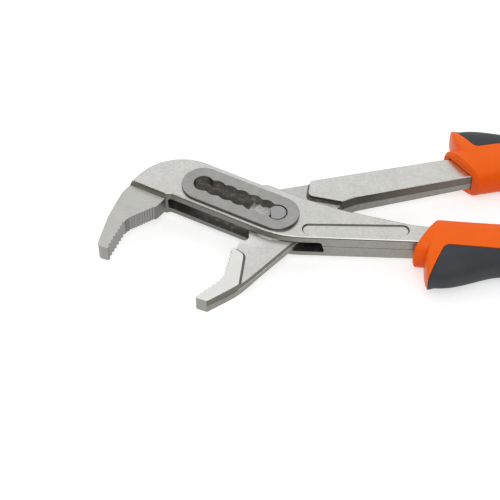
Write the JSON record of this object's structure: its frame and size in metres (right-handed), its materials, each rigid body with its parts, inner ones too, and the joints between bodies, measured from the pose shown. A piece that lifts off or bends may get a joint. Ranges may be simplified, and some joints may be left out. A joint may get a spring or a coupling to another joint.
{
  "type": "water pump pliers",
  "caption": "Adjustable water pump pliers with angled toothed jaws, a box joint with a scalloped row of stops, a keyed pivot pin and two-colour moulded grips.",
  "frame": {"origin": "on the pivot pin's axis, at the pin's lower end face, with the pin in the stop nearest the handles", "axes": "+X along the fixed handle towards its end, +Y across the jaws towards the back of the box, +Z along the pivot pin"},
  "size_m": [0.2687, 0.0995, 0.0175],
  "materials": {
    "satin_chrome": "satin chrome plated forged steel",
    "ground_steel": "ground steel",
    "orange_grip": "moulded orange plastic",
    "charcoal_grip": "soft charcoal elastomer"
  },
  "bodies": {
    "fixed_arm": {"fixed_arm": "satin_chrome", "fixed_grip_sleeve": "orange_grip", "fixed_grip_inlay": "charcoal_grip"},
    "pivot_pin": {"pivot_pin": "ground_steel"},
    "moving_arm": {"moving_arm": "satin_chrome", "moving_grip_sleeve": "orange_grip", "moving_grip_inlay": "charcoal_grip"}
  },
  "joints": [
    {"name": "stop_slide", "type": "slide", "parent": "fixed_arm", "child": "pivot_pin", "axis": [-0.8829, 0.4695, 0], "range_m": [0, 0.0354]},
    {"name": "jaw_hinge", "type": "hinge", "parent": "pivot_pin", "child": "moving_arm", "pos_m": [0, 0, 0.00735], "axis": [0, 0, 1], "range_deg": [-9, 56.7]}
  ]
}
